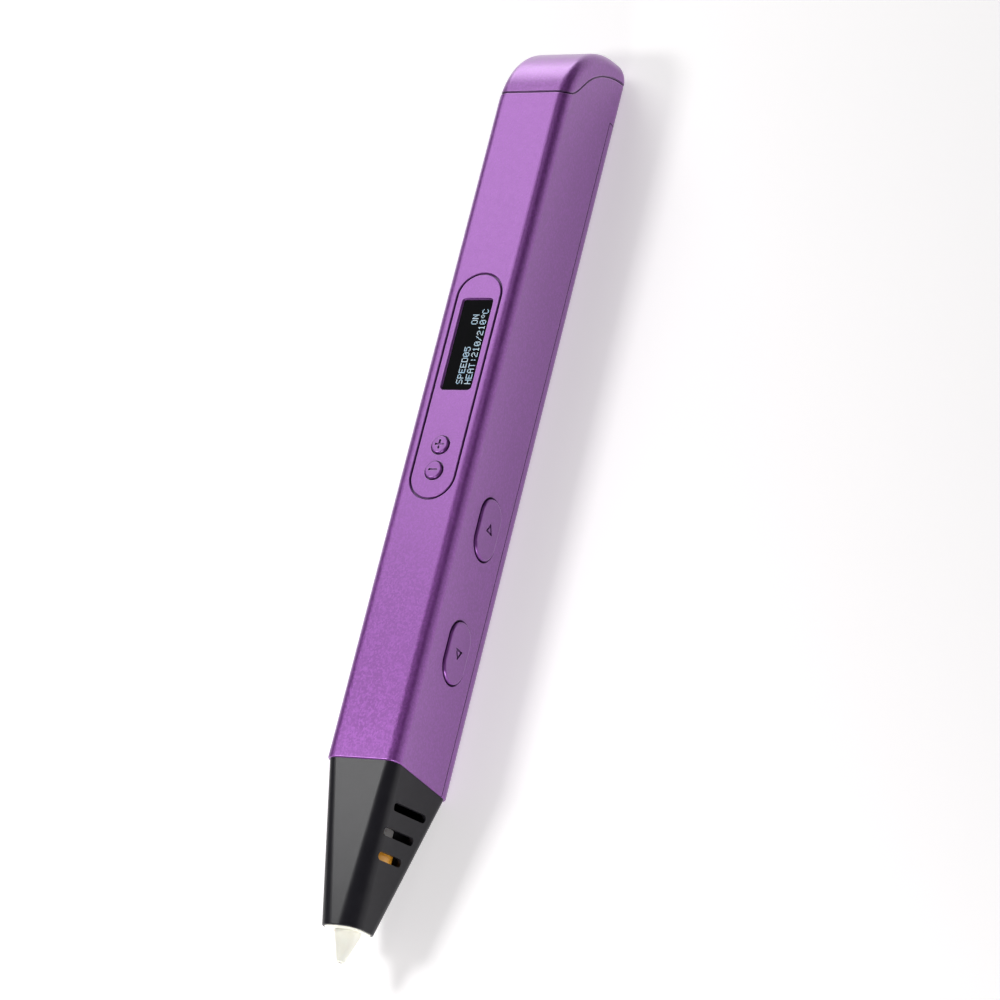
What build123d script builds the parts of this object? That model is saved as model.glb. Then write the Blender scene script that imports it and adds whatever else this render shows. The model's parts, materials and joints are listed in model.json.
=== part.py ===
from build123d import *
from math import atan2, cos, pi, radians, sin, tan
import os

# Slim 3-D drawing pen, lying on its flat back: nozzle toward -X, end cap toward +X,
# display facing +Z, feed buttons facing -Y. Millimetres.
# Lengths along the pen are stations: X measured from the seam between nose and body.
# save() moves every piece so that the frame's origin is under the middle of the pen.

# ---- overall form -------------------------------------------------------------------
BODY_W = 15.2            # across, Y
BODY_D = 20.8            # front to back, Z
BODY_R = 2.2             # long edges of the casing
CAP_SEAM_X = 135.0       # front seam between body and end cap
TOP_CORNER_X = 147.9     # where the front face and the crown's slope would meet
TOP_SLOPE = 0.15         # rise of the crown toward the back
TOP_FRONT_R = 17.2       # big rounding from the front face over to the crown
TOP_BACK_R = 3.3         # rounding from the crown down to the back
CROWN_X = 150.6          # highest station of the crown
TIP_X = -34.7            # nozzle tip
MID_X = (CROWN_X + TIP_X) / 2
AXIS_Z = BODY_D / 2      # filament axis: the middle of the section, at Y = 0

WALL = 1.2               # sides and back of the casing
FRONT_WALL = 1.4
ROOF = 2.0               # the cap's crown
SEAM = 0.2               # open hairline between casing pieces
LIP_R = 0.25             # softened edge of the body's mouth
RELIEF = 0.16            # shallow relief each side of the cap seam, and its depth
RIM = 0.16               # chamfer round the pockets in the casing
INNER_Y = BODY_W / 2 - WALL
INNER_Z = BODY_D - FRONT_WALL

COVER_TOP_Z = 3.3        # seam between body and back cover, on both sides
COVER_END_X = 138.0
RAIL_T = 0.7             # the cover's rails, which centre it between the side walls
RAIL_TOP_Z = 3.6
RAIL_FIT = 0.05
CAP_TONGUE = ((139.0, 148.0), (6.5, 13.5))   # the cap's two tongues: X and Z
CAP_TONGUE_T = 0.9
# knots of the cap seam: along the pen, and down from the front face
CAP_WAVE = [(0.0, -1.0), (0.3, 1.7), (5.2, 6.2), (9.5, 11.6), (11.6, 17.5), (12.0, BODY_D + 1)]
BEYOND = 30.0            # how far cutting shapes reach past the pen

# ---- nose and hot end ---------------------------------------------------------------
NOSE_END_X = -28.8
NOSE_INSET = 0.3         # step from the body's lip to the nose
NOSE_END_W = 8.0
NOSE_END_D = 9.6
NOSE_END_R = 3.5
NOSE_END_RISE = 0.3      # the nose's end sits a little toward the front
NOSE_END_TILT = 6.0      # and reaches a little lower there
NOSE_EDGE_R = 0.15
NOSE_END_WALL = 0.4
RING_T = 1.4             # ceramic ring that closes the nose's end
RING_PROUD = 0.1
RING_FIT = 0.02          # its clearance all round
CAVITY = (12.9, 17.8, 1.4)     # the nose's inside at its seam: width, depth, corner radius
SLOT_W = 1.55
SLOT_TILT = 8.2          # the slots' rear ends lean toward the cap
# station, height and overall length of each pair of cooling slots
SLOTS = [(-6.1, AXIS_Z + 0.25, 11.1), (-10.9, AXIS_Z + 1.05, 10.1), (-15.35, AXIS_Z + 1.25, 7.7)]
SPIGOT_LEN = 5.0
TUBE_R = 1.4
TUBE_BORE_R = 1.0
BREAK_R = 1.6            # heat-break tube
CORE_R = 3.2
WRAP_R = 4.45            # amber film round the core
WRAP_END_X = -18.0
COLLAR_R = 3.5
HOLDER_X = 1.0
HOLDER_T = 3.0
HOLDER_SLEEVE_R = 2.4
BREAK_X = (-16.0, 8.4)
FEED_TUBE_X = (BREAK_X[1], 31.2)
THERMISTOR_X = (-21.0, -14.0)
THERMISTOR_R = 0.5
THERMISTOR_Z = AXIS_Z + 2.35
LEAD_R = 0.35
LEADS = [(2.75, 13.3), (3.65, 13.3)]   # heater leads: Y and Z
COLLAR_TOP_X = -9.0
CORE_TOP_X = -13.4
CORE_END_X = -24.6
NOZZLE_BORE_R = 0.35
FLANGE_R = 2.9           # nozzle: flange on the heater core, then a throat, then the cone
SHOULDER_X = -26.8
THROAT_R = 2.4
CONE_ROOT_X = -29.3
WELL_X = (-29.5, -26.5)  # funnel from the filament path down to the bore
TIP_R = 0.72
TIP_EDGE = 0.15

# ---- display and front controls -----------------------------------------------------
INLAY_R = 4.5
INLAY_X = (55.3, 91.9)   # centres of the inlay's two round ends
INLAY_T = 0.5
GROOVE = 0.24            # open line round the inlay and the buttons
WINDOW_X = 82.05
WINDOW_L = 19.0          # mouth of the sloped display opening
WINDOW_W = 6.7
GLASS_L = 18.5           # foot of the sloped opening
GLASS_W = 6.2
LENS_T = 1.5
LENS_EDGE = (0.8, 0.7)   # what the inlay hides of the lens at its ends and sides
LENS_FIT = 0.1
DOT_R = 1.73             # plus and minus buttons
DOT_PROUD = 0.5
PLUS_X = 61.4
MINUS_X = 56.3
DOT_SHOULDER = 0.5       # how far a button spreads under the inlay
DOT_STEM_Z = 17.9        # where a button meets its plunger
PLUNGER_R = 0.8
SIGN_HALF = 0.95         # half length of the engraved plus and minus
BOARD_Z = 15.4
BOARD_T = 0.8
BOARD_X = (50.0, 104.0)
BOARD_HALF_W = 5.7
# parts under the main board: X, Y, depth
BOARD_PARTS = [
    ((72.0, 79.0), (-3.5, 3.5), 1.0),      # controller
    ((85.0, 89.0), (-2.0, 2.0), 1.3),      # regulator
    ((100.0, 104.0), (-3.0, 3.0), 2.6),    # supply connector
    ((50.4, 54.0), (1.9, 4.6), 2.9),       # heater connector
    ((64.0, 65.8), (-4.5, -1.5), 2.0),     # motor connector
]
COIL_R = 2.0
COIL_AT = (93.0, 2.5)
PANEL_X = (70.6, 93.4)
PANEL_HALF_W = 3.9
PANEL_Z = (17.3, 18.6)
PANEL_FIT = 0.1
TRAY_RIM = 0.7
TRAY_TOP_Z = 18.2

# ---- side controls ------------------------------------------------------------------
KEY_W = 7.2
KEY_L = 11.8
KEY_PROUD = 0.45
KEY_Z = 10.2
FEED_X = 25.0
RETRACT_X = 49.4
SIDE_BOARD_Y = -4.0
SIDE_BOARD_T = 0.6
SIDE_BOARD_X = (18.0, 57.0)
SIDE_BOARD_Z = (6.6, 13.8)
SIDE_PLUNGER_R = 1.0
SIDE_STEM_Y = -5.45      # where a side button meets its plunger
ENGRAVE = 0.3
LINE = 0.46              # width of the engraved lines

# ---- drive --------------------------------------------------------------------------
SHAFT_X = 37.0           # cross shaft
SHAFT_Z = 5.5
SHAFT_R = 0.75
RUN = 0.04               # radial running clearance
MOTOR_Y = 2.95
MOTOR_R = 3.0
GEAR_TEETH = 20
PINION_TEETH = 10
GEAR_PITCH_R = 3.2
PINION_PITCH_R = GEAR_PITCH_R * PINION_TEETH / GEAR_TEETH
TOOTH_FACE = 1.2
WHEEL_R = 4.0
WHEEL_T = 1.6
WHEEL_TEETH = 40
FILAMENT_R = 0.875
IDLER_R = 2.0
IDLER_Z = AXIS_Z + FILAMENT_R + IDLER_R
GEARBOX_X = 43.5
GEARBOX_L = 11.0
MOTOR_L = 15.0
PLATE_Y = (-3.0, -1.6)   # left wall of the drive frame
FAR_PLATE_Y = (5.75, 6.3)
ROOF_Z = (18.0, 18.6)    # the frame's bridge over the spring
CARRIAGE_TOP_Z = 15.9
FRAME_Y = (PLATE_Y[0], FAR_PLATE_Y[1])
FRAME_FOOT_Z = 3.8
FRAME_BLOCKS = [
    ((30.0, GEARBOX_X), PLATE_Y, (FRAME_FOOT_Z, ROOF_Z[1])),          # left wall
    ((30.0, GEARBOX_X), FAR_PLATE_Y, (FRAME_FOOT_Z, ROOF_Z[1])),      # right wall
    ((27.0, 47.0), FRAME_Y, ROOF_Z),                                  # bridge
    ((30.0, 32.0), FRAME_Y, (7.5, 12.4)),                             # seat of the feed tube
    ((42.0, 44.0), FRAME_Y, (8.7, 12.4)),                             # seat of the inlet tube
    ((33.9, 40.1), (1.5, 2.1), (11.6, ROOF_Z[1])),                    # guide of the idler's carriage
    ((42.9, GEARBOX_X), (-0.2, FAR_PLATE_Y[1]), (FRAME_FOOT_Z, 9.2)),    # face of the gearbox
]
BUSH_R = 1.5
GEARBOX_SHAFT_R = 0.5
CARRIAGE_X = (34.0, 40.0)
CARRIAGE_Y = (-1.5, 1.4)
CARRIAGE_FORK = ((34.6, 39.4), (-0.95, 0.95), (12.0, 15.5))       # room for the idler
SPRING_WIRE_R = 0.14
SPRING_R = 1.05
SPRING_TURNS = 3
SPRING_FIT = 0.02

# ---- inlet and power ----------------------------------------------------------------
INLET_R = 1.25           # passes 1.75 mm filament
INLET_FLARE = 0.5        # the mouth opens by this much over the next length
INLET_FLARE_LEN = 0.8
INLET_BUSH_R = 2.1
INLET_BUSH_X = (143.5, 147.3)
INLET_TUBE_X = (42.8, INLET_BUSH_X[0])
JACK_Z = 4.9
JACK_R = 2.5
JACK_MOUTH_R = 2.05
JACK_BORE_R = 1.8        # takes a 3.5 mm barrel plug
JACK_X = (139.5, 149.5)
JACK_MOUTH_LEN = 2.0


# ---- screw posts inside the body ------------------------------------------------------
SCREW_POSTS = [(13.0, -4.5), (128.0, 4.5)]     # back-cover screws: station, Y
BOARD_POSTS = [67.5, 98.0]                    # main-board screws, on the centre line
FRAME_POSTS = [(28.6, 1.6), (45.4, 1.6)]      # drive-frame screws
POST_R = 1.5
POST_FIT = 0.15
RIB_T = 1.2              # ribs that tie the cover's posts to the side walls
HEAD_FIT = 0.1           # clearance round a cover screw, and how deep its head is sunk
COVER_SHANK_R = 0.8
COVER_HEAD_R = 1.65
COVER_HEAD_H = 0.65
COVER_PILOT_TOP = 6.7
BOARD_SHANK_R = 0.7
BOARD_HEAD_R = 1.3
BOARD_PILOT_TOP = 18.6
FRAME_SHANK_R = 0.6
FRAME_HEAD_R = 1.2
FRAME_PILOT_TOP = 19.5
INNER_HEAD_H = 0.8       # heads of the board and frame screws
PILOT_SPARE = 0.2        # pilot holes are this much deeper than their screws
SLOT_CUT = (0.3, 0.35)   # cross slot in a head: width and depth


# ---- helpers ------------------------------------------------------------------------
def block(x, y, z):
    """Box from three (low, high) pairs."""
    size = Box(x[1] - x[0], y[1] - y[0], z[1] - z[0], align=(Align.MIN,) * 3)
    return Pos(x[0], y[0], z[0]) * size


def rod_x(x0, x1, r, y=0.0, z=AXIS_Z):
    bar = Cylinder(r, x1 - x0, align=(Align.CENTER, Align.CENTER, Align.MIN))
    return Location((x0, y, z), (0, 90, 0)) * bar


def rod_y(y0, y1, r, x, z):
    bar = Cylinder(r, y1 - y0, align=(Align.CENTER, Align.CENTER, Align.MIN))
    return Location((x, y0, z), (-90, 0, 0)) * bar


def rod_z(z0, z1, r, x, y):
    bar = Cylinder(r, z1 - z0, align=(Align.CENTER, Align.CENTER, Align.MIN))
    return Pos(x, y, z0) * bar


def tube_x(x0, x1, r, bore, y=0.0, z=AXIS_Z):
    return rod_x(x0, x1, r, y, z) - rod_x(x0 - 1, x1 + 1, bore, y, z)


def front_slot(x, length, width, z0, z1):
    """Stadium on the front face, long along X, between two heights."""
    return Pos(x, 0, z0) * extrude(SlotOverall(length, width), z1 - z0)


def side_plane(x, y, z):
    """Plane facing -Y with its x along the pen and its y up."""
    return Plane(origin=(x, y, z), x_dir=(1, 0, 0), z_dir=(0, -1, 0))


def side_slot(x, z, length, width, y_in, y_out):
    """Stadium on the -Y face, long along X, from y_in outward to y_out."""
    return extrude(side_plane(x, y_in, z) * SlotOverall(length, width), y_in - y_out)


def section(x, width, depth, radius, rise=0.0, tilt=0.0):
    """Rounded rectangle across the pen at one station, centred over the filament axis."""
    turn = radians(tilt)
    normal = (cos(turn), 0, sin(turn))
    plane = Plane(origin=(x, 0, AXIS_Z + rise), x_dir=(0, 1, 0), z_dir=normal)
    return plane * RectangleRounded(width, depth, radius)


def save(shape, name):
    export_step(Pos(-MID_X, 0, 0) * shape, f"parts/{name}.step")


# ---- casing -------------------------------------------------------------------------
def side_form(inset_front, inset_back, inset_top, width, edge_r, start_x):
    """Pen outline seen from the side, extruded across and rounded on its long edges."""
    front = BODY_D - inset_front
    corner_x = TOP_CORNER_X - inset_top
    corners = [
        (start_x, inset_back),
        (start_x, front),
        (corner_x, front),
        (corner_x + TOP_SLOPE * (front - inset_back), inset_back),
    ]
    face = make_face(Polyline(*corners, close=True))
    tall = face.vertices().sort_by(Axis.X)
    front_corner = max(tall[2:], key=lambda v: v.Y)
    face = fillet(front_corner, TOP_FRONT_R - inset_front)
    back_corner = [v for v in face.vertices() if v.Y < inset_back + 0.01 and v.X > start_x + 1]
    face = fillet(back_corner, max(TOP_BACK_R - inset_back, 1.2))
    form = extrude(Plane.XZ * face, width / 2, both=True)
    rims = [e for e in form.edges() if abs(abs(e.center().Y) - width / 2) < 0.01]
    rims = [e for e in rims if e.bounding_box().max.X > start_x + 0.01]
    return fillet(rims, edge_r)


def outer_form():
    form = side_form(0, 0, 0, BODY_W, BODY_R, 0)
    return fillet(form.faces().sort_by(Axis.X)[0].edges(), LIP_R)


def inner_form():
    return side_form(FRONT_WALL, WALL, ROOF, BODY_W - 2 * WALL, 1.0, -1)


def cap_region(offset):
    """Everything past the wave-shaped seam that parts the cap from the body."""
    x0 = CAP_SEAM_X + offset
    knots = [(x0 + along, BODY_D - down) for along, down in CAP_WAVE]
    far = x0 + BEYOND
    rest = Polyline(knots[-1], (far, -1), (far, BODY_D + 1), knots[0])
    return extrude(Plane.XZ * make_face([Spline(*knots), rest]), BODY_W, both=True)


def seam_relief(outer):
    """Shallow channel in the skin along the cap seam."""
    core = side_form(RELIEF, RELIEF, RELIEF, BODY_W - 2 * RELIEF, BODY_R - RELIEF, -1)
    band = cap_region(-RELIEF) - cap_region(SEAM + RELIEF)
    return (outer - core) & band


def main_shell(outer, inner, relief):
    shell = outer - inner - cap_region(0) - relief
    shell -= block((-1, COVER_END_X), (-BODY_W, BODY_W), (-1, COVER_TOP_Z))
    pocket_len = INLAY_X[1] - INLAY_X[0] + 2 * INLAY_R + 2 * GROOVE
    pocket_x = sum(INLAY_X) / 2
    pocket_z = BODY_D - INLAY_T
    pocket_w = 2 * (INLAY_R + GROOVE)
    shell -= front_slot(pocket_x, pocket_len, pocket_w, pocket_z, BODY_D + 1)
    rim = Pos(pocket_x, 0, BODY_D - RIM) * SlotOverall(pocket_len, pocket_w)
    shell -= extrude(rim, 2 * RIM, taper=-45)
    lens_x = GLASS_L / 2 + LENS_EDGE[0] + LENS_FIT
    lens_y = GLASS_W / 2 + LENS_EDGE[1] + LENS_FIT
    shell -= block((WINDOW_X - lens_x, WINDOW_X + lens_x), (-lens_y, lens_y), (INNER_Z - 1, BODY_D))
    for x in (PLUS_X, MINUS_X):
        shell -= rod_z(INNER_Z - 1, BODY_D, DOT_R + DOT_SHOULDER + 0.22, x, 0)
    for x in (FEED_X, RETRACT_X):
        hole_l = KEY_L + 2 * GROOVE
        hole_w = KEY_W + 2 * GROOVE
        shell -= side_slot(x, KEY_Z, hole_l, hole_w, -INNER_Y + 1, -BODY_W)
        rim = side_plane(x, RIM - BODY_W / 2, KEY_Z) * SlotOverall(hole_l, hole_w)
        shell -= extrude(rim, 2 * RIM, taper=-45)
    for x, y in SCREW_POSTS:
        post = rod_z(WALL + 0.1, INNER_Z + 0.5, POST_R, x, y)
        rib_y = sorted((y, (INNER_Y + 0.3) * y / abs(y)))
        post += block((x - RIB_T / 2, x + RIB_T / 2), rib_y, (COVER_TOP_Z + 2, INNER_Z + 0.3))
        shell += post - rod_z(0, COVER_PILOT_TOP, COVER_SHANK_R, x, y)
    for x in BOARD_POSTS:
        post = rod_z(BOARD_Z + BOARD_T, INNER_Z + 0.3, POST_R, x, 0)
        shell += post - rod_z(BOARD_Z, BOARD_PILOT_TOP, BOARD_SHANK_R, x, 0)
    for x, y in FRAME_POSTS:
        post = rod_z(ROOF_Z[1], INNER_Z + 0.3, POST_R, x, y)
        shell += post - rod_z(ROOF_Z[0], FRAME_PILOT_TOP, FRAME_SHANK_R, x, y)
    return shell


def back_cover(outer, inner):
    end = COVER_END_X - SEAM
    cover = outer & block((0, end), (-BODY_W, BODY_W), (-1, COVER_TOP_Z - SEAM))
    cover -= inner
    for side in (-1, 1):
        outside = INNER_Y - RAIL_FIT
        rail_y = sorted((side * outside, side * (outside - RAIL_T)))
        cover += block((SPIGOT_LEN + 1, end - 2), rail_y, (WALL - 0.2, RAIL_TOP_Z))
    for x, y in SCREW_POSTS:
        cover -= rod_z(-1, COVER_TOP_Z, COVER_SHANK_R + HEAD_FIT, x, y)
        cover -= rod_z(-1, HEAD_FIT + COVER_HEAD_H, COVER_HEAD_R + HEAD_FIT, x, y)
        cover -= rod_z(WALL, RAIL_TOP_Z + 1, POST_R + POST_FIT, x, y)
    return cover


def end_cap(outer, inner, relief):
    region = cap_region(SEAM)
    cap = ((outer - inner) & region) - relief
    boss = rod_x(141, 160, INLET_BUSH_R + 1.1) + rod_x(141, 160, JACK_R + 0.9, z=JACK_Z)
    cap += boss & outer & (region + block((141, 150), (-4, 4), (2.3, 14)))
    outside = INNER_Y - RAIL_FIT
    for side in (-1, 1):
        tongue_y = sorted((side * outside, side * (outside - CAP_TONGUE_T)))
        cap += block(CAP_TONGUE[0], tongue_y, CAP_TONGUE[1]) & outer
    cap -= rod_x(130, 160, INLET_BUSH_R)
    cap -= rod_x(130, 160, JACK_R, z=JACK_Z)
    return cap


def control_inlay():
    length = INLAY_X[1] - INLAY_X[0] + 2 * INLAY_R
    z0 = BODY_D - INLAY_T
    inlay = front_slot(sum(INLAY_X) / 2, length, 2 * INLAY_R, z0, BODY_D)
    inlay = chamfer(inlay.edges().group_by(Axis.Z)[-1], RIM)
    mouth = Pos(WINDOW_X, 0, BODY_D + 0.01) * RectangleRounded(WINDOW_L, WINDOW_W, 0.9)
    foot = Pos(WINDOW_X, 0, z0 - 0.01) * RectangleRounded(GLASS_L, GLASS_W, 0.5)
    inlay -= loft([foot, mouth], ruled=True)
    for x in (PLUS_X, MINUS_X):
        inlay -= rod_z(z0 - 1, BODY_D + 1, DOT_R + GROOVE, x, 0)
    return inlay


def display_window():
    z1 = BODY_D - INLAY_T
    half_l = GLASS_L / 2 + LENS_EDGE[0]
    half_w = GLASS_W / 2 + LENS_EDGE[1]
    lens = block((WINDOW_X - half_l, WINDOW_X + half_l), (-half_w, half_w), (z1 - LENS_T, z1))
    return chamfer(lens.edges().group_by(Axis.Z)[0], 0.2)


def nose_end(x, inset):
    """The nose's tilted end, drawn in by a wall's thickness."""
    size = (NOSE_END_W - 2 * inset, NOSE_END_D - 2 * inset, NOSE_END_R - inset)
    return section(x, *size, NOSE_END_RISE, NOSE_END_TILT)


def nose_cone():
    root = section(0, BODY_W - 2 * NOSE_INSET, BODY_D - 2 * NOSE_INSET, BODY_R)
    nose = loft([nose_end(NOSE_END_X, 0), root], ruled=True)
    nose = fillet(nose.faces().sort_by(Axis.X)[0].edges(), NOSE_EDGE_R)
    mouth = nose_end(NOSE_END_X, NOSE_END_WALL)
    nose -= extrude(mouth, RING_T, both=True)
    turn = radians(NOSE_END_TILT)
    seat = Pos(RING_T * cos(turn), 0, RING_T * sin(turn)) * mouth
    nose -= loft([seat, section(0.01, *CAVITY)], ruled=True)
    spigot = extrude(section(-1.0, 2 * INNER_Y - 0.16, INNER_Z - WALL - 0.16, 0.9), SPIGOT_LEN + 1)
    spigot = Pos(0, 0, (INNER_Z + WALL) / 2 - AXIS_Z) * spigot
    bore = extrude(section(-3, 10.6, 15.8, 0.8), SPIGOT_LEN + 6)
    nose += spigot - bore
    for x, z, length in SLOTS:
        cut = extrude(SlotOverall(length, SLOT_W), BODY_W, both=True)
        place = Plane(origin=(x, 0, z), x_dir=(0, 0, 1), z_dir=(0, -1, 0))
        nose -= place * (Rot(0, 0, SLOT_TILT) * cut)
    return nose


# ---- buttons and switches -----------------------------------------------------------
def dot_button(x, upright):
    """Round button with a shoulder under the inlay; engraved plus or minus."""
    z1 = BODY_D + DOT_PROUD
    under = BODY_D - INLAY_T
    cap = rod_z(under - 0.6, z1, DOT_R, x, 0)
    cap = fillet(cap.edges().group_by(Axis.Z)[-1], 0.3)
    button = cap + rod_z(under - 0.9, under - 0.06, DOT_R + DOT_SHOULDER, x, 0)
    button += rod_z(DOT_STEM_Z, under - 0.8, PLUNGER_R, x, 0)
    cut_z = (z1 - ENGRAVE, z1 + 1)
    button -= block((x - LINE / 2, x + LINE / 2), (-SIGN_HALF, SIGN_HALF), cut_z)
    if upright:
        button -= block((x - SIGN_HALF, x + SIGN_HALF), (-LINE / 2, LINE / 2), cut_z)
    return button


def key_button(x, toward):
    """Stadium-shaped side button with an engraved triangle; toward = +1 points at the cap."""
    y_out = -BODY_W / 2 - KEY_PROUD
    cap = side_slot(x, KEY_Z, KEY_L, KEY_W, -INNER_Y + 0.2, y_out)
    cap = fillet(cap.edges().group_by(Axis.Y)[0], 0.45)
    button = cap + side_slot(x, KEY_Z, KEY_L + 1.6, KEY_W + 1.6, -5.75, -INNER_Y + 0.05)
    button += rod_y(-5.8, SIDE_STEM_Y, SIDE_PLUNGER_R, x, KEY_Z)
    outline = Triangle(a=2.6, b=2.5, c=2.5)
    line = outline - offset(outline, -LINE, kind=Kind.INTERSECTION)
    turned = Rotation(0, 0, -90 * toward) * line
    button -= extrude(side_plane(x, y_out + ENGRAVE, KEY_Z) * turned, 1)
    return button


def front_switch(x):
    z0 = BOARD_Z + BOARD_T
    body = block((x - 1.9, x + 1.9), (-1.9, 1.9), (z0, z0 + 1.2))
    body = chamfer(body.edges().group_by(Axis.Z)[-1], 0.2)
    return body - rod_z(z0 + 0.5, z0 + 2, 0.85, x, 0)


def front_switches():
    return Compound([front_switch(PLUS_X), front_switch(MINUS_X)])


def front_plunger(x):
    return rod_z(BOARD_Z + BOARD_T + 0.9, DOT_STEM_Z, PLUNGER_R, x, 0)


def side_switch(x):
    y0 = SIDE_BOARD_Y - SIDE_BOARD_T
    body = block((x - 2.2, x + 2.2), (y0 - 0.6, y0), (KEY_Z - 1.6, KEY_Z + 1.6))
    return body - rod_y(y0 - 1, y0 - 0.02, 1.05, x, KEY_Z)


def side_switches():
    return Compound([side_switch(FEED_X), side_switch(RETRACT_X)])


def side_plunger(x):
    return rod_y(SIDE_STEM_Y, SIDE_BOARD_Y - SIDE_BOARD_T - 0.4, SIDE_PLUNGER_R, x, KEY_Z)


# ---- electronics --------------------------------------------------------------------
def main_board():
    board = block(BOARD_X, (-BOARD_HALF_W, BOARD_HALF_W), (BOARD_Z, BOARD_Z + BOARD_T))
    for x in BOARD_POSTS:
        board -= rod_z(BOARD_Z - 1, BOARD_Z + 2, BOARD_SHANK_R + POST_FIT, x, 0)
    return board


def board_parts():
    """Controller chip, regulator, coil and connectors under the main board."""
    parts = [block(x, y, (BOARD_Z - drop, BOARD_Z)) for x, y, drop in BOARD_PARTS]
    coil = rod_z(BOARD_Z - COIL_R, BOARD_Z, COIL_R, *COIL_AT)
    return Compound([*parts, coil])


def side_board():
    y1 = SIDE_BOARD_Y
    return block(SIDE_BOARD_X, (y1 - SIDE_BOARD_T, y1), SIDE_BOARD_Z)


def oled_panel():
    glass = block(PANEL_X, (-PANEL_HALF_W, PANEL_HALF_W), PANEL_Z)
    return chamfer(glass.edges().filter_by(Axis.Z), 0.3)


def panel_tray():
    """Moulded tray that carries the panel on the main board."""
    z0 = BOARD_Z + BOARD_T
    seat_x = (PANEL_X[0] - PANEL_FIT, PANEL_X[1] + PANEL_FIT)
    seat_y = PANEL_HALF_W + PANEL_FIT
    tray_y = seat_y + TRAY_RIM
    hole_y = PANEL_HALF_W - 1.1
    tray = block((seat_x[0] - TRAY_RIM, seat_x[1] + TRAY_RIM), (-tray_y, tray_y), (z0, TRAY_TOP_Z))
    tray -= block(seat_x, (-seat_y, seat_y), (PANEL_Z[0], TRAY_TOP_Z + 1))
    return tray - block((73, 91), (-hole_y, hole_y), (z0 - 1, TRAY_TOP_Z + 1))


# ---- drive --------------------------------------------------------------------------
def bevel(teeth, pitch_r, mate_r, back, bore):
    """Straight bevel gear on local +Z with its cone point at the origin."""
    cone = atan2(pitch_r, mate_r)
    reach = pitch_r / sin(cone)
    module = 2 * pitch_r / teeth
    addendum = 0.7 * module
    dedendum = 1.1 * module
    half = 0.36 * module * pi / 2
    slope = tan(radians(22))
    root = cone - dedendum / reach
    tip = cone + addendum / reach
    sunk = root - 0.03
    tip_turn = (half - addendum * slope) / (reach * sin(tip))
    root_turn = (half + dedendum * slope) / (reach * sin(root))

    def corner(distance, angle, turn):
        flat = distance * sin(angle)
        return (flat * cos(turn), flat * sin(turn), distance * cos(angle))

    def quad(distance):
        points = [
            corner(distance, sunk, -root_turn),
            corner(distance, tip, -tip_turn),
            corner(distance, tip, tip_turn),
            corner(distance, sunk, root_turn),
        ]
        return make_face(Polyline(*points, close=True))

    inner = reach - TOOTH_FACE
    tooth = loft([quad(inner), quad(reach)], ruled=True)
    profile = [
        (bore, inner * cos(root)),
        (inner * sin(root), inner * cos(root)),
        (reach * sin(root), reach * cos(root)),
        (reach * sin(root) * 0.8, back),
        (bore, back),
    ]
    blank = revolve(Plane.XZ * make_face(Polyline(*profile, close=True)), Axis.Z)
    gear = blank
    for i in range(teeth):
        gear += Rot(0, 0, 360 * i / teeth) * tooth
    return gear


def bevel_gear():
    gear = bevel(GEAR_TEETH, GEAR_PITCH_R, PINION_PITCH_R, 5.6 - MOTOR_Y, SHAFT_R)
    return Location((SHAFT_X, MOTOR_Y, SHAFT_Z), (-90, 0, 0)) * gear


def bevel_pinion():
    pinion = bevel(PINION_TEETH, PINION_PITCH_R, GEAR_PITCH_R, 5.0, GEARBOX_SHAFT_R)
    return Location((SHAFT_X, MOTOR_Y, SHAFT_Z), (0, 90, 0)) * pinion


def motor_shaft():
    return rod_x(SHAFT_X + 2.3, GEARBOX_X + 2, GEARBOX_SHAFT_R, MOTOR_Y, SHAFT_Z)


def drive_shaft():
    shaft = rod_y(PLATE_Y[0] + 0.1, FAR_PLATE_Y[1] - 0.1, SHAFT_R, SHAFT_X, SHAFT_Z)
    return chamfer(shaft.edges().filter_by(GeomType.CIRCLE), 0.12)


def drive_wheel():
    """Knurled wheel that grips the filament from behind."""
    points = []
    for i in range(2 * WHEEL_TEETH):
        r = WHEEL_R if i % 2 == 0 else WHEEL_R - 0.22
        turn = pi * i / WHEEL_TEETH
        points.append((r * cos(turn), r * sin(turn)))
    face = make_face(Polyline(*points, close=True))
    wheel = extrude(side_plane(SHAFT_X, WHEEL_T / 2, SHAFT_Z) * face, WHEEL_T)
    return wheel - rod_y(-2, 2, SHAFT_R, SHAFT_X, SHAFT_Z)


def shaft_bushes():
    left = rod_y(PLATE_Y[0], PLATE_Y[1], BUSH_R, SHAFT_X, SHAFT_Z)
    right = rod_y(FAR_PLATE_Y[0], FAR_PLATE_Y[1], BUSH_R, SHAFT_X, SHAFT_Z)
    hole = rod_y(-5, 8, SHAFT_R + RUN, SHAFT_X, SHAFT_Z)
    return Compound([left - hole, right - hole])


def drive_frame():
    frame = block(*FRAME_BLOCKS[0])
    for sizes in FRAME_BLOCKS[1:]:
        frame += block(*sizes)
    frame -= rod_x(29, 45, TUBE_BORE_R)
    frame -= rod_x(29, FEED_TUBE_X[1], TUBE_R)
    frame -= rod_x(INLET_TUBE_X[0], 45, TUBE_R)
    frame -= rod_x(42, 44, 1.2, MOTOR_Y, SHAFT_Z)
    frame -= rod_y(-4, 8, BUSH_R, SHAFT_X, SHAFT_Z)
    for px, py in FRAME_POSTS:
        frame -= rod_z(17, 19, 0.75, px, py)
    return frame


def idler_carriage():
    carriage = block(CARRIAGE_X, CARRIAGE_Y, (12.5, CARRIAGE_TOP_Z))
    carriage = chamfer(carriage.edges().filter_by(Axis.Z), 0.3)
    carriage -= block(*CARRIAGE_FORK)
    return carriage - rod_y(-2, 2, SHAFT_R, SHAFT_X, IDLER_Z)


def idler_pin():
    return rod_y(CARRIAGE_Y[0], CARRIAGE_Y[1], SHAFT_R, SHAFT_X, IDLER_Z)


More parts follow.
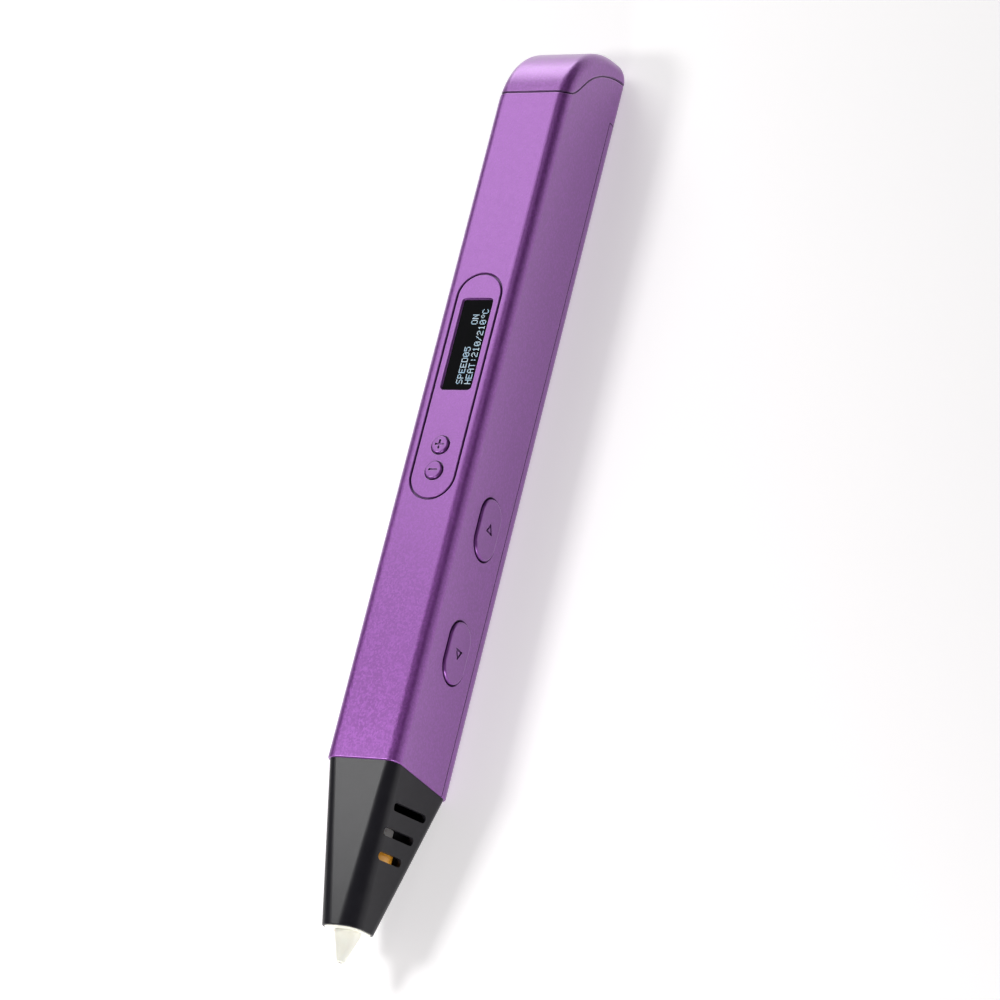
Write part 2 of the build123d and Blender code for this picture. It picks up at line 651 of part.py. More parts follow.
def idler_bearing():
    ring = rod_y(-0.8, 0.8, IDLER_R, SHAFT_X, IDLER_Z) - rod_y(-2, 2, SHAFT_R + RUN, SHAFT_X, IDLER_Z)
    rims = [e for e in ring.edges() if e.length > 2 * pi * IDLER_R - 0.1]
    return fillet([e for e in rims if e.geom_type == GeomType.CIRCLE], 0.2)


def pressure_spring():
    height = ROOF_Z[0] - CARRIAGE_TOP_Z - 2 * (SPRING_WIRE_R + SPRING_FIT)
    path = Helix(pitch=height / SPRING_TURNS, height=height, radius=SPRING_R)
    start = Plane(origin=path @ 0, z_dir=path % 0)
    spring = sweep(start * Circle(SPRING_WIRE_R), path=path)
    return Pos(SHAFT_X, 0, CARRIAGE_TOP_Z + SPRING_WIRE_R + SPRING_FIT) * spring


def gearbox_housing():
    case = rod_x(GEARBOX_X, GEARBOX_X + GEARBOX_L, MOTOR_R, MOTOR_Y, SHAFT_Z)
    case = chamfer(case.edges().filter_by(GeomType.CIRCLE), 0.2)
    return case - rod_x(GEARBOX_X - 1, GEARBOX_X + 2.5, GEARBOX_SHAFT_R + RUN, MOTOR_Y, SHAFT_Z)


def motor_can():
    x0 = GEARBOX_X + GEARBOX_L
    can = rod_x(x0, x0 + MOTOR_L, MOTOR_R, MOTOR_Y, SHAFT_Z)
    flats = block((x0 + 0.8, x0 + MOTOR_L + 1), (-10, 10), (SHAFT_Z + 2.6, SHAFT_Z + 4))
    flats += block((x0 + 0.8, x0 + MOTOR_L + 1), (-10, 10), (SHAFT_Z - 4, SHAFT_Z - 2.6))
    return can - flats


def motor_brush_cap():
    x0 = GEARBOX_X + GEARBOX_L + MOTOR_L
    cap = rod_x(x0, x0 + 1.2, 2.6, MOTOR_Y, SHAFT_Z)
    for side in (-1, 1):
        cap += block((x0 + 1, x0 + 2.6), (MOTOR_Y - 0.5, MOTOR_Y + 0.5),
                     sorted((SHAFT_Z + side * 1.2, SHAFT_Z + side * 1.6)))
    return cap


# ---- filament path and hot end ------------------------------------------------------
def inlet_bush():
    x0, x1 = INLET_BUSH_X
    bush = tube_x(x0, x1, INLET_BUSH_R, INLET_R)
    stand = (Align.CENTER, Align.CENTER, Align.MIN)
    flare = Cone(INLET_R, INLET_R + INLET_FLARE, INLET_FLARE_LEN, align=stand)
    return bush - Location((x1 - INLET_FLARE_LEN, 0, AXIS_Z), (0, 90, 0)) * flare


def inlet_tube():
    return tube_x(*INLET_TUBE_X, TUBE_R, TUBE_BORE_R)


def feed_tube():
    return tube_x(*FEED_TUBE_X, TUBE_R, TUBE_BORE_R)


def hotend_holder():
    """Black carrier in the nose: a plate with a sleeve that grips the heat break."""
    holder = extrude(section(HOLDER_X, 10.4, 15.4, 0.8), HOLDER_T)
    holder += rod_x(COLLAR_TOP_X + 0.2, HOLDER_X + 1, HOLDER_SLEEVE_R)
    holder -= rod_x(*BREAK_X, BREAK_R)
    for y, z in LEADS:
        holder -= rod_x(HOLDER_X - 1, HOLDER_X + HOLDER_T + 1, LEAD_R, y, z)
    return holder


def heater_leads():
    wires = [rod_x(-12.6, 50.4, LEAD_R, y, z) for y, z in LEADS]
    return Compound(wires)


def heat_break():
    return tube_x(*BREAK_X, BREAK_R, TUBE_BORE_R)


def cooling_collar():
    collar = tube_x(CORE_TOP_X, COLLAR_TOP_X, COLLAR_R, BREAK_R)
    return fillet(collar.faces().sort_by(Axis.X)[-1].edges().sort_by(SortBy.LENGTH)[-1:], 0.4)


def heater_core():
    core = tube_x(CORE_END_X, CORE_TOP_X, CORE_R, TUBE_BORE_R)
    core -= rod_x(*BREAK_X, BREAK_R)
    return core - rod_x(THERMISTOR_X[0], CORE_TOP_X + 1, THERMISTOR_R, 0, THERMISTOR_Z)


def thermistor():
    return rod_x(*THERMISTOR_X, THERMISTOR_R, 0, THERMISTOR_Z)


def kapton_wrap():
    return tube_x(WRAP_END_X, CORE_TOP_X - 0.1, WRAP_R, CORE_R)


def nozzle():
    """Ceramic nozzle: flange on the heater core, throat through the ring, cone outside."""
    profile = [
        (CORE_END_X, NOZZLE_BORE_R),
        (CORE_END_X, FLANGE_R),
        (SHOULDER_X, FLANGE_R),
        (SHOULDER_X, THROAT_R),
        (CONE_ROOT_X, THROAT_R),
        (TIP_X + TIP_EDGE, TIP_R),
        (TIP_X, TIP_R - TIP_EDGE),
        (TIP_X, NOZZLE_BORE_R),
    ]
    body = revolve(make_face(Polyline(*profile, close=True)), Axis.X)
    middle = (WELL_X[0] + WELL_X[1]) / 2
    funnel = Cone(NOZZLE_BORE_R, TUBE_BORE_R, WELL_X[1] - WELL_X[0])
    body -= Location((middle, 0, 0), (0, 90, 0)) * funnel
    body = Pos(0, 0, AXIS_Z) * body
    return body - rod_x(WELL_X[1] - 0.1, CORE_END_X + 1, TUBE_BORE_R)


def nozzle_ring():
    """Ceramic ring between the nozzle and the nose's mouth."""
    face = nose_end(NOSE_END_X - RING_PROUD, NOSE_END_WALL + RING_FIT)
    ring = extrude(face, RING_T + RING_PROUD)
    return ring - rod_x(NOSE_END_X - 3, NOSE_END_X + 4, THROAT_R + RING_FIT)


def power_jack():
    x0, x1 = JACK_X
    jack = rod_x(x0, x1, JACK_R, z=JACK_Z)
    jack -= rod_x(x1 - JACK_MOUTH_LEN, x1 + 1, JACK_MOUTH_R, z=JACK_Z)
    return jack - rod_x(x0 + 2.0, x1, JACK_BORE_R, z=JACK_Z)


def jack_pin():
    x0, x1 = JACK_X
    pin = rod_x(x0 + 2.0, x1 - JACK_MOUTH_LEN - 0.4, 0.6, z=JACK_Z)
    return fillet(pin.faces().sort_by(Axis.X)[-1].edges(), 0.4)


# ---- screws -------------------------------------------------------------------------
def screw_up(x, y, head_z, head_r, head_h, shank_r, shank_top):
    """Screw driven toward +Z, with a cross slot in its head."""
    screw = rod_z(head_z, head_z + head_h, head_r, x, y)
    screw += rod_z(head_z, shank_top, shank_r, x, y)
    reach = head_r * 0.6
    half = SLOT_CUT[0] / 2
    cut_z = (head_z - 1, head_z + SLOT_CUT[1])
    screw -= block((x - reach, x + reach), (y - half, y + half), cut_z)
    return screw - block((x - half, x + half), (y - reach, y + reach), cut_z)


def cover_screws():
    sizes = (HEAD_FIT, COVER_HEAD_R, COVER_HEAD_H, COVER_SHANK_R, COVER_PILOT_TOP - PILOT_SPARE)
    return Compound([screw_up(x, y, *sizes) for x, y in SCREW_POSTS])


def board_screws():
    head_z = BOARD_Z - INNER_HEAD_H
    sizes = (head_z, BOARD_HEAD_R, INNER_HEAD_H, BOARD_SHANK_R, BOARD_PILOT_TOP - PILOT_SPARE)
    return Compound([screw_up(x, 0, *sizes) for x in BOARD_POSTS])


def frame_screws():
    head_z = ROOF_Z[0] - INNER_HEAD_H
    sizes = (head_z, FRAME_HEAD_R, INNER_HEAD_H, FRAME_SHANK_R, FRAME_PILOT_TOP - PILOT_SPARE)
    return Compound([screw_up(x, y, *sizes) for x, y in FRAME_POSTS])


# ---- write every node ---------------------------------------------------------------
def build():
    os.makedirs("parts", exist_ok=True)
    outer = outer_form()
    inner = inner_form()
    relief = seam_relief(outer)
    save(main_shell(outer, inner, relief), "main_shell")
    save(back_cover(outer, inner), "back_cover")
    save(end_cap(outer, inner, relief), "end_cap")
    save(dot_button(PLUS_X, True), "plus_button")
    save(dot_button(MINUS_X, False), "minus_button")
    save(key_button(FEED_X, -1), "feed_button")
    save(key_button(RETRACT_X, 1), "retract_button")
    save(front_plunger(PLUS_X), "plus_plunger")
    save(front_plunger(MINUS_X), "minus_plunger")
    save(side_plunger(FEED_X), "feed_plunger")
    save(side_plunger(RETRACT_X), "retract_plunger")
    for make in (
        nose_cone, control_inlay, display_window, front_switches, side_switches,
        main_board, board_parts, side_board, oled_panel, panel_tray,
        bevel_gear, bevel_pinion, motor_shaft, drive_shaft, drive_wheel, shaft_bushes, drive_frame,
        idler_carriage, idler_pin, idler_bearing, pressure_spring,
        gearbox_housing, motor_can, motor_brush_cap,
        inlet_bush, inlet_tube, feed_tube, hotend_holder, heater_leads, heat_break, cooling_collar,
        heater_core, thermistor, kapton_wrap, nozzle, nozzle_ring,
        power_jack, jack_pin, cover_screws, board_screws, frame_screws,
    ):
        save(make(), make.__name__)


build()
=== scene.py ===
import json
import math
from itertools import product

import bmesh
import bpy
from mathutils import Matrix, Vector

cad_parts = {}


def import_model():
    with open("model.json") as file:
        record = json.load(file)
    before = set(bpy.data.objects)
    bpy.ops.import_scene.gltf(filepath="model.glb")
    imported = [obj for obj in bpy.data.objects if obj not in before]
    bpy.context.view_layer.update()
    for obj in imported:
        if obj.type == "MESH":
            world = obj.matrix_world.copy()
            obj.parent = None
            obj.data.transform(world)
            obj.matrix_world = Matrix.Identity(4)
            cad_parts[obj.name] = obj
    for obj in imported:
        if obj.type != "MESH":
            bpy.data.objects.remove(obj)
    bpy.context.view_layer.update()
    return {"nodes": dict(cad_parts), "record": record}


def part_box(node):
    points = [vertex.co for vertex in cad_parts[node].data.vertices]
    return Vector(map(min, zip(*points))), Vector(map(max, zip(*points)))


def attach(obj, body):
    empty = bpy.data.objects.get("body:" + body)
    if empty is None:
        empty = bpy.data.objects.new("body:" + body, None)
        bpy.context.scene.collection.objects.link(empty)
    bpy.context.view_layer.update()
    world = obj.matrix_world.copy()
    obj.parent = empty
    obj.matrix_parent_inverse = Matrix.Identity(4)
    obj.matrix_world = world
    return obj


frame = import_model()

MM = 0.001
NODES = frame["nodes"]

# ---- camera ---------------------------------------------------------------------------
CAM_TARGET = Vector((-0.7, -6.2, 6.3)) * MM
CAM_DISTANCE = 0.8057
CAM_AZIMUTH = math.radians(-125.46)      # from +X toward +Y
CAM_ELEVATION = math.radians(52.53)
CAM_ROLL = math.radians(46.42)           # the pen leans across the picture
CAM_LENS = 157.9
CAM_SENSOR = 36.0
CAM_CLIP = 0.01


def make_camera():
    data = bpy.data.cameras.new("camera")
    data.lens = CAM_LENS
    data.sensor_width = CAM_SENSOR
    data.clip_start = CAM_CLIP
    camera = bpy.data.objects.new("camera", data)
    bpy.context.scene.collection.objects.link(camera)
    flat = math.cos(CAM_ELEVATION)
    back = Vector((
        flat * math.cos(CAM_AZIMUTH),
        flat * math.sin(CAM_AZIMUTH),
        math.sin(CAM_ELEVATION),
    ))
    aim = (-back).to_track_quat("-Z", "Y").to_matrix()
    turn = Matrix.Rotation(-CAM_ROLL, 3, "Z")
    place = Matrix.Translation(CAM_TARGET + back * CAM_DISTANCE)
    camera.matrix_world = place @ (aim @ turn).to_4x4()
    bpy.context.scene.camera = camera


make_camera()


# ---- shader building blocks -------------------------------------------------------------
EDGE_FACING = (0.99, 0.85)     # bevelled against true normal: open face, sharp edge
HOLLOW_LIGHT = (0.82, 0.40)    # open sky left: where the painted crevice shade starts, and where it is full
ROUGH_SPAN = (0.3, 0.7)        # the part of a texture's values that moves the roughness
PALE_GAIN = 1.9                # how much lighter than the base the pale shade is
PALE_LIFT = 0.02
BEVEL_SAMPLES = 4
HOLLOW_SAMPLES = 8


def lighter(color, gain, lift):
    return tuple(min(1.0, c * gain + lift) for c in color)


class Shader:
    """A material under construction: one Principled shader, and object space in millimetres."""

    def __init__(self, name, color, roughness, **sockets):
        self.mat = bpy.data.materials.new(name)
        self.mat.use_nodes = True
        self.tree = self.mat.node_tree
        self.bsdf = self.tree.nodes["Principled BSDF"]
        self.color = color
        self.bsdf.inputs["Base Color"].default_value = (*color, 1.0)
        self.bsdf.inputs["Roughness"].default_value = roughness
        for socket, value in sockets.items():
            self.bsdf.inputs[socket.replace("_", " ")].default_value = value
        coords = self.add("ShaderNodeTexCoord")
        scaled = self.add("ShaderNodeVectorMath", operation="SCALE")
        scaled.inputs["Scale"].default_value = 1.0 / MM
        self.link(coords.outputs["Object"], scaled.inputs[0])
        self.mm = scaled.outputs[0]
        self.normal = None

    def add(self, kind, **settings):
        node = self.tree.nodes.new(kind)
        for key, value in settings.items():
            setattr(node, key, value)
        return node

    def link(self, source, target):
        self.tree.links.new(source, target)

    def noise(self, per_mm, detail=2.0, stretch=(1, 1, 1)):
        pulled = self.add("ShaderNodeVectorMath", operation="MULTIPLY")
        pulled.inputs[1].default_value = stretch
        self.link(self.mm, pulled.inputs[0])
        node = self.add("ShaderNodeTexNoise")
        node.inputs["Scale"].default_value = per_mm
        node.inputs["Detail"].default_value = detail
        self.link(pulled.outputs[0], node.inputs["Vector"])
        return node.outputs["Fac"]

    def cells(self, per_mm):
        """A random value for each cell."""
        node = self.add("ShaderNodeTexVoronoi")
        node.inputs["Scale"].default_value = per_mm
        self.link(self.mm, node.inputs["Vector"])
        split = self.add("ShaderNodeSeparateColor")
        self.link(node.outputs["Color"], split.inputs["Color"])
        return split.outputs[0]

    def remap(self, value, between, to):
        node = self.add("ShaderNodeMapRange")
        for socket, number in zip(list(node.inputs)[1:5], (*between, *to)):
            socket.default_value = number
        self.link(value, node.inputs[0])
        return node.outputs[0]

    def edge(self, radius):
        """1 on sharp edges, 0 on open faces."""
        bevel = self.add("ShaderNodeBevel", samples=BEVEL_SAMPLES)
        bevel.inputs["Radius"].default_value = radius * MM
        geometry = self.add("ShaderNodeNewGeometry")
        dot = self.add("ShaderNodeVectorMath", operation="DOT_PRODUCT")
        self.link(bevel.outputs[0], dot.inputs[0])
        self.link(geometry.outputs["Normal"], dot.inputs[1])
        return self.remap(dot.outputs["Value"], EDGE_FACING, (0.0, 1.0))

    def tint(self, value, between, share, color):
        """Mixes in a colour, by up to a share, as the value crosses a span."""
        mix = self.add("ShaderNodeMix", data_type="RGBA")
        base = self.bsdf.inputs["Base Color"]
        if base.is_linked:
            self.link(base.links[0].from_socket, mix.inputs[6])
        else:
            mix.inputs[6].default_value = base.default_value
        mix.inputs[7].default_value = (*color, 1.0)
        self.link(self.remap(value, between, (0.0, share)), mix.inputs[0])
        self.link(mix.outputs[2], base)

    def paint_crevice_shade(self, reach, share, color):
        """Painted shade: darkens seams, grooves and engraved lines where little open sky
        reaches them.
        """
        hollow = self.add("ShaderNodeAmbientOcclusion", samples=HOLLOW_SAMPLES)
        hollow.inputs["Distance"].default_value = reach * MM
        self.tint(hollow.outputs["AO"], HOLLOW_LIGHT, share, color)

    def shade(self, value, between, share):
        """Mixes a paler form of the base colour in, by a texture."""
        self.tint(value, between, share, lighter(self.color, PALE_GAIN, PALE_LIFT))

    def rough(self, value, low, high):
        self.link(self.remap(value, ROUGH_SPAN, (low, high)), self.bsdf.inputs["Roughness"])

    def bump(self, height, strength, depth_mm):
        node = self.add("ShaderNodeBump")
        node.inputs["Strength"].default_value = strength
        node.inputs["Distance"].default_value = depth_mm * MM
        self.link(height, node.inputs["Height"])
        if self.normal is not None:
            self.link(self.normal, node.inputs["Normal"])
        self.normal = node.outputs[0]
        self.link(self.normal, self.bsdf.inputs["Normal"])


# ---- materials --------------------------------------------------------------------------
# Texture scales are in features per millimetre, and depths and reaches in millimetres.
def violet_paint(name, color, roughness, sparkle, **sockets):
    """Satin metallic lacquer: fine flakes, slight orange peel, pale edges from rubbed wear and
    a painted edge highlight, painted shade in crevices.
    """
    paint = Shader(name, color, roughness, **sockets)
    flakes = paint.cells(3.2)
    clouds = paint.noise(0.05, detail=3.0)
    paint.shade(flakes, (0.25, 1.0), sparkle)
    paint.tint(clouds, (0.35, 0.7), 0.10, (0.30, 0.06, 0.42))
    # Pale edges: partly rubbed wear, partly a painted highlight along sharp edges.
    paint.tint(paint.edge(0.22), (0.0, 1.0), 0.45, (0.70, 0.40, 0.80))
    # Painted shade in seams, grooves and engraved lines.
    paint.paint_crevice_shade(0.50, 0.88, (0.030, 0.007, 0.048))
    paint.rough(flakes, roughness - 0.05, roughness + 0.07)
    paint.bump(paint.noise(1.8, detail=3.0), 0.40, depth_mm=0.016)
    paint.bump(paint.noise(7.0, detail=3.0), 0.40, depth_mm=0.012)
    return paint.mat


def grained_plastic(name, color, roughness, grain, wear=0.25, **sockets):
    """Moulded plastic with a spark-eroded grain and edges polished by handling."""
    plastic = Shader(name, color, roughness, **sockets)
    fine = plastic.noise(grain, detail=4.0)
    plastic.shade(plastic.noise(0.35, detail=4.0), (0.35, 0.75), 0.10)
    plastic.tint(plastic.edge(0.2), (0.0, 1.0), wear, lighter(color, 2.2, 0.05))
    plastic.rough(fine, roughness - 0.03, roughness + 0.04)
    plastic.bump(fine, 0.25, depth_mm=0.008)
    return plastic.mat


def worked_metal(name, color, roughness, stretch=(0.12, 1, 1), grain=9.0):
    """Turned or drawn metal with fine lines along one direction and dulled patches."""
    metal = Shader(name, color, roughness, Metallic=1.0)
    lines = metal.noise(grain, detail=3.0, stretch=stretch)
    metal.shade(metal.noise(0.5, detail=3.0), (0.4, 0.8), 0.18)
    metal.rough(lines, roughness - 0.07, roughness + 0.12)
    metal.bump(lines, 0.25, depth_mm=0.01)
    return metal.mat


def smoked_lens():
    """Black polished acrylic with faint wiping marks."""
    lens = Shader("smoked_lens", (0.004, 0.004, 0.005), 0.12,
                  IOR=1.49, Specular_IOR_Level=0.015)
    wipes = lens.noise(0.8, detail=5.0, stretch=(0.3, 1.6, 1.0))
    lens.tint(wipes, (0.45, 0.8), 0.5, (0.007, 0.006, 0.009))
    lens.rough(wipes, 0.07, 0.19)
    lens.bump(lens.noise(0.4, detail=1.0), 0.05, depth_mm=0.01)
    return lens.mat


def ceramic(name, color, roughness, speckle):
    """Fired ceramic: faint speckle, slight pores and a warm body."""
    body = Shader(name, color, roughness, Subsurface_Weight=0.12)
    body.bsdf.inputs["Subsurface Radius"].default_value = Vector((0.6, 0.5, 0.4)) * MM
    body.tint(body.noise(3.5, detail=5.0), (0.5, 0.85), speckle, lighter(color, 0.72, 0.0))
    body.tint(body.noise(0.4, detail=3.0), (0.4, 0.8), 0.15, (0.78, 0.66, 0.45))
    body.rough(body.noise(2.0, detail=3.0), roughness - 0.06, roughness + 0.08)
    body.bump(body.noise(6.0, detail=4.0), 0.3, depth_mm=0.012)
    return body.mat


def kapton():
    """Amber film: overlap bands, wrinkles, and a weak glow in place of light through it."""
    film = Shader("kapton", (0.90, 0.42, 0.03), 0.28,
                  Coat_Weight=0.35, Coat_Roughness=0.15)
    film.bsdf.inputs["Emission Color"].default_value = (1.0, 0.42, 0.04, 1.0)
    film.bsdf.inputs["Emission Strength"].default_value = 0.18
    wave = film.add("ShaderNodeTexWave", bands_direction="X", wave_profile="SAW")
    wave.inputs["Scale"].default_value = 0.13
    wave.inputs["Distortion"].default_value = 0.6
    film.link(film.mm, wave.inputs["Vector"])
    film.tint(wave.outputs["Fac"], (0.75, 1.0), 0.7, (0.55, 0.20, 0.012))
    film.tint(film.noise(0.9, detail=4.0), (0.45, 0.8), 0.5, (1.0, 0.60, 0.10))
    film.rough(film.noise(2.0, detail=3.0), 0.20, 0.42)
    film.bump(film.noise(0.9, detail=3.0, stretch=(1.0, 0.5, 0.5)), 0.6, depth_mm=0.08)
    film.bump(wave.outputs["Fac"], 0.3, depth_mm=0.05)
    return film.mat


def circuit_board():
    """Green solder mask over copper traces."""
    board = Shader("circuit_board", (0.012, 0.10, 0.035), 0.35,
                   Coat_Weight=0.4, Coat_Roughness=0.2)
    brick = board.add("ShaderNodeTexBrick")
    brick.inputs["Scale"].default_value = 0.35
    brick.inputs["Mortar Size"].default_value = 0.03
    board.link(board.mm, brick.inputs["Vector"])
    board.tint(brick.outputs["Fac"], (0.0, 1.0), 0.6, (0.05, 0.22, 0.07))
    board.shade(board.noise(0.5, detail=4.0), (0.4, 0.8), 0.12)
    board.rough(board.noise(1.5, detail=3.0), 0.28, 0.45)
    board.bump(brick.outputs["Fac"], 0.3, depth_mm=0.03)
    return board.mat


def tube_plastic():
    """Milky PTFE tube."""
    tube = Shader("ptfe", (0.78, 0.78, 0.75), 0.32, Subsurface_Weight=0.25)
    tube.bsdf.inputs["Subsurface Radius"].default_value = Vector((1.2, 1.1, 1.0)) * MM
    drawn = (0.1, 1, 1)
    tube.shade(tube.noise(0.7, detail=3.0), (0.4, 0.8), 0.10)
    tube.rough(tube.noise(2.0, stretch=drawn), 0.26, 0.40)
    tube.bump(tube.noise(3.0, stretch=drawn), 0.2, depth_mm=0.01)
    return tube.mat


def lit_dots():
    """Pale blue light of the display's dots, uneven from dot to dot."""
    dots = Shader("lit_dots", (0.02, 0.03, 0.04), 0.4)
    mix = dots.add("ShaderNodeMix", data_type="RGBA")
    mix.inputs[6].default_value = (0.42, 0.70, 0.95, 1.0)
    mix.inputs[7].default_value = (0.80, 0.93, 1.0, 1.0)
    dots.link(dots.remap(dots.noise(1.2), (0.3, 0.7), (0.0, 1.0)), mix.inputs[0])
    dots.link(mix.outputs[2], dots.bsdf.inputs["Emission Color"])
    dots.bsdf.inputs["Emission Strength"].default_value = 0.85
    dots.rough(dots.noise(2.0), 0.35, 0.5)
    return dots.mat


VIOLET = (0.250, 0.064, 0.338)
VIOLET_KEY = (0.240, 0.064, 0.325)
LACQUER = {"Metallic": 0.55, "Coat_Roughness": 0.30, "Specular_IOR_Level": 0.35}
ANY_WAY = (1, 1, 1)       # metal without a direction of its own
MATERIALS = {
    "violet_plastic": violet_paint("violet_plastic", VIOLET, 0.37, 0.34,
                                   Coat_Weight=0.80, **LACQUER),
    "violet_button": violet_paint("violet_button", VIOLET_KEY, 0.37, 0.26,
                                  Coat_Weight=0.75, **LACQUER),
    "black_nose": grained_plastic("black_nose", (0.012, 0.0115, 0.0150), 0.34, 11.0, 0.08,
                                  Specular_IOR_Level=0.22),
    "smoked_lens": smoked_lens(),
    "panel_glass": smoked_lens(),
    "black_plastic": grained_plastic("black_plastic", (0.018, 0.018, 0.019), 0.5, 9.0),
    "white_plastic": grained_plastic("white_plastic", (0.74, 0.74, 0.71), 0.4, 8.0),
    "ptfe": tube_plastic(),
    "circuit_board": circuit_board(),
    "steel": worked_metal("steel", (0.60, 0.60, 0.61), 0.28),
    "dark_steel": worked_metal("dark_steel", (0.10, 0.10, 0.11), 0.35),
    "spring_steel": worked_metal("spring_steel", (0.52, 0.52, 0.54), 0.25, ANY_WAY),
    "brass": worked_metal("brass", (0.72, 0.52, 0.20), 0.28),
    "bronze": worked_metal("bronze", (0.50, 0.30, 0.12), 0.42, ANY_WAY),
    "ceramic": ceramic("ceramic", (0.93, 0.92, 0.83), 0.34, 0.10),
    "alumina": ceramic("alumina", (0.86, 0.86, 0.87), 0.45, 0.25),
    "kapton": kapton(),
    "wire_red": grained_plastic("wire_red", (0.40, 0.02, 0.015), 0.35, 5.0),
}


def dress_cad_nodes():
    """Gives every CAD node the material of its own slot."""
    for subpart in frame["record"]["subparts"]:
        piece = NODES[subpart["node"]]
        piece.data.materials.clear()
        piece.data.materials.append(MATERIALS[subpart["material_slot"]])


dress_cad_nodes()


# ---- display ----------------------------------------------------------------------------
# Five columns of seven dots for each sign, as an ordinary dot-matrix shows them.
FONT = {
    "0": "01110 10001 10011 10101 11001 10001 01110",
    "1": "00100 01100 00100 00100 00100 00100 01110",
    "2": "01110 10001 00001 00110 01000 10000 11111",
    "5": "11111 10000 11110 00001 00001 10001 01110",
    "/": "00001 00010 00010 00100 01000 01000 10000",
    ":": "00000 00100 00100 00000 00100 00100 00000",
    "A": "01110 10001 10001 11111 10001 10001 10001",
    "C": "01110 10001 10000 10000 10000 10001 01110",
    "D": "11110 10001 10001 10001 10001 10001 11110",
    "E": "11111 10000 10000 11110 10000 10000 11111",
    "H": "10001 10001 10001 11111 10001 10001 10001",
    "N": "10001 11001 10101 10101 10011 10001 10001",
    "O": "01110 10001 10001 10001 10001 10001 01110",
    "P": "11110 10001 10001 11110 10000 10000 10000",
    "S": "01111 10000 10000 01110 00001 00001 11110",
    "T": "11111 00100 00100 00100 00100 00100 00100",
    "*": "00110 01001 01001 00110 00000 00000 00000",     # degree sign
    " ": "",
}
DOT_ROWS = 7
DOT_COLUMNS = 6          # five dots and the gap after them
DOT_PITCH = (0.185, 0.19)
DOT_FILL = 0.82
DOT_HEIGHT = 0.02
TEXT_START = 2.05        # from the lens's nozzle end, toward the cap
# Each line with its offset from the lens's middle, in Y.
LINES = [("SPEED05    ON", -0.15), ("HEAT:210/210*C", -1.93)]
BOX_FACES = ((0, 1, 3, 2), (4, 6, 7, 5), (0, 4, 5, 1), (2, 3, 7, 6), (0, 2, 6, 4), (1, 5, 7, 3))


def add_box(mesh, low, high):
    corners = product(*zip(low, high))
    points = [mesh.verts.new(Vector(c) * MM) for c in corners]
    for face in BOX_FACES:
        mesh.faces.new([points[i] for i in face])


def finish_piece(mesh, name, material, body):
    data = bpy.data.meshes.new(name)
    bmesh.ops.recalc_face_normals(mesh, faces=mesh.faces)
    mesh.to_mesh(data)
    mesh.free()
    data.materials.append(material)
    piece = bpy.data.objects.new(name, data)
    bpy.context.scene.collection.objects.link(piece)
    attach(piece, body)


def dot_places(text):
    """Column and row of every lit dot in a line of text."""
    for place, sign in enumerate(text):
        for row, dots in enumerate(FONT[sign].split()):
            for column, dot in enumerate(dots):
                if dot == "1":
                    yield place * DOT_COLUMNS + column, row


def display_text():
    """Two rows of lit dots on the lens, read from the nozzle toward the cap."""
    low, high = (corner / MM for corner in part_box("display_window"))
    surface = high.z
    middle = (low.y + high.y) / 2
    size = (DOT_PITCH[0] * DOT_FILL, DOT_PITCH[1] * DOT_FILL)
    mesh = bmesh.new()
    for text, offset in LINES:
        top = middle + offset + DOT_ROWS * DOT_PITCH[1] / 2
        for column, row in dot_places(text):
            x = low.x + TEXT_START + column * DOT_PITCH[0]
            y = top - (row + 1) * DOT_PITCH[1]
            low_corner = (x, y, surface - DOT_HEIGHT)
            high_corner = (x + size[0], y + size[1], surface + DOT_HEIGHT)
            add_box(mesh, low_corner, high_corner)
    finish_piece(mesh, "display_text", lit_dots(), "casing")


display_text()


# ---- stage and light ---------------------------------------------------------------------
FLOOR_SIZE = 6.0
FLOOR_Z = -0.0002
FLOOR_GLOW = 0.44                 # keeps the pale floor near white beyond the lights
SKY_TOWARD = (0.30, 0.62, 0.72)   # the open part of the sky
SKY_OPEN = (0.07, 0.068, 0.07)    # overhead and beyond the pen
SKY_DARK = (0.03, 0.028, 0.032)   # low on the side that the buttons face
SKY_SPAN = (0.15, 0.85)


def floor():
    bpy.ops.mesh.primitive_plane_add(size=FLOOR_SIZE, location=(0, 0, FLOOR_Z))
    plane = bpy.context.object
    plane.name = "floor"
    paper = Shader("floor", (0.90, 0.885, 0.89), 0.8)
    paper.bsdf.inputs["Emission Color"].default_value = (1.0, 0.975, 0.985, 1.0)
    paper.bsdf.inputs["Emission Strength"].default_value = FLOOR_GLOW
    paper.tint(paper.noise(0.02), (0.3, 0.7), 0.1, (0.86, 0.85, 0.86))
    plane.data.materials.append(paper.mat)


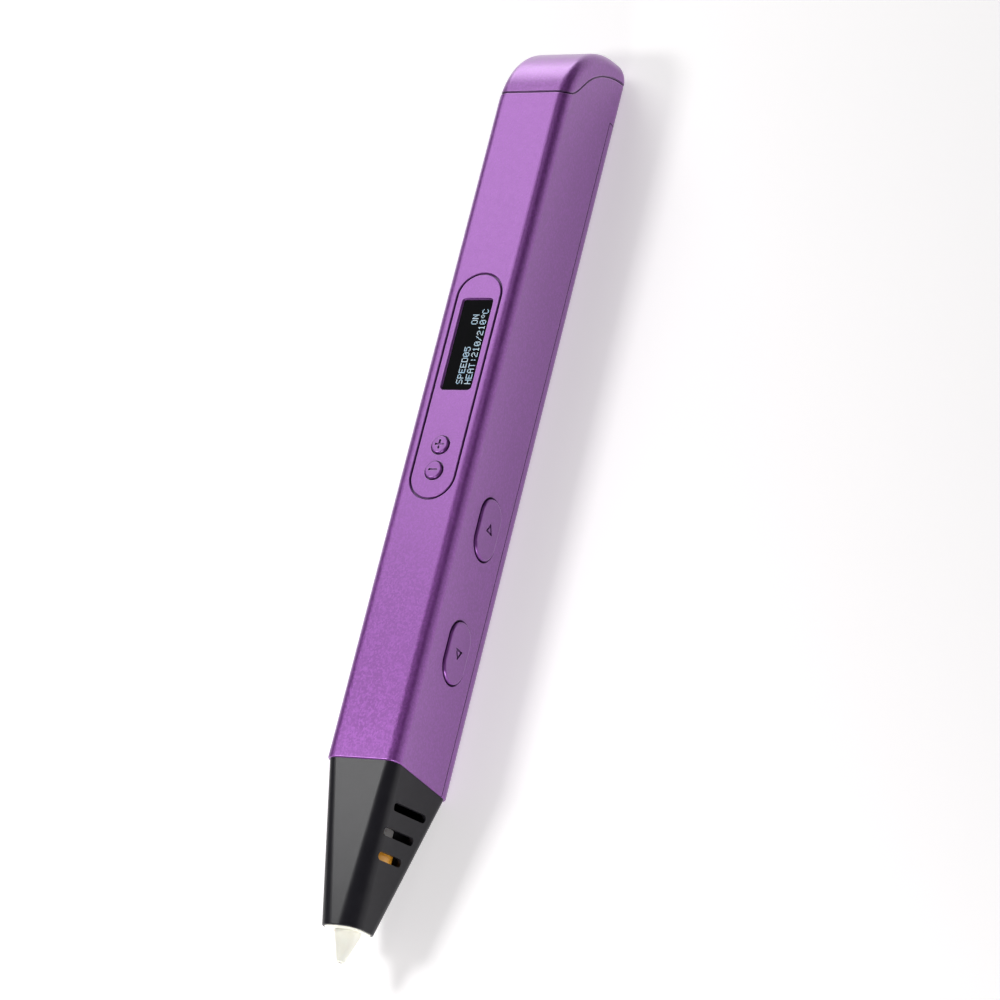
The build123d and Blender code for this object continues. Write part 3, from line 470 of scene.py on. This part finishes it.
def area_light(name, target, aim, distance, size, power, color=(1, 1, 1)):
    """Square softbox that looks at a place on the pen, in millimetres, from a direction."""
    data = bpy.data.lights.new(name, "AREA")
    data.size = size
    data.energy = power
    data.color = color
    lamp = bpy.data.objects.new(name, data)
    bpy.context.scene.collection.objects.link(lamp)
    direction = Vector(aim).normalized()
    lamp.location = Vector(target) * MM + direction * distance
    lamp.rotation_euler = (-direction).to_track_quat("-Z", "Y").to_euler()


def world():
    background = bpy.data.worlds.new("studio")
    background.use_nodes = True
    tree = background.node_tree
    shader = tree.nodes["Background"]
    coords = tree.nodes.new("ShaderNodeTexCoord")
    facing = tree.nodes.new("ShaderNodeVectorMath")
    facing.operation = "DOT_PRODUCT"
    facing.inputs[1].default_value = Vector(SKY_TOWARD).normalized()
    tree.links.new(coords.outputs["Generated"], facing.inputs[0])
    ramp = tree.nodes.new("ShaderNodeValToRGB")
    stops = zip(ramp.color_ramp.elements, SKY_SPAN, (SKY_DARK, SKY_OPEN))
    for element, position, color in stops:
        element.position = position
        element.color = (*color, 1.0)
    tree.links.new(facing.outputs["Value"], ramp.inputs["Fac"])
    tree.links.new(ramp.outputs["Color"], shader.inputs["Color"])
    shader.inputs["Strength"].default_value = 1.0
    bpy.context.scene.world = background


floor()
world()
# Name, place on the pen in mm, direction from there, distance and size in m, watts, colour.
area_light("key", (95, 0, 20), (0.37, 0.50, 0.79), 0.38, 0.24, 0.51, (0.97, 1.0, 0.97))
area_light("cap_glow", (90, 0, 12), (0.90, 0.46, 0.14), 0.4, 0.24, 0.72, (0.96, 1.0, 0.96))
area_light("top_strip", (40, 0, 20), (0.36, -0.25, 0.90), 0.5, 0.16, 0.07)
area_light("nose_glow", (-72, 0, 18), (0.05, 0.50, 0.86), 0.28, 0.06, 0.35)
area_light("tip_fill", (-92, 0, 8), (-0.88, -0.30, 0.36), 0.25, 0.10, 0.47)
area_light("side_fill", (-40, -8, 10), (0.30, -0.93, 0.20), 0.60, 0.30, 0.20)
bpy.context.scene.view_settings.view_transform = "Standard"
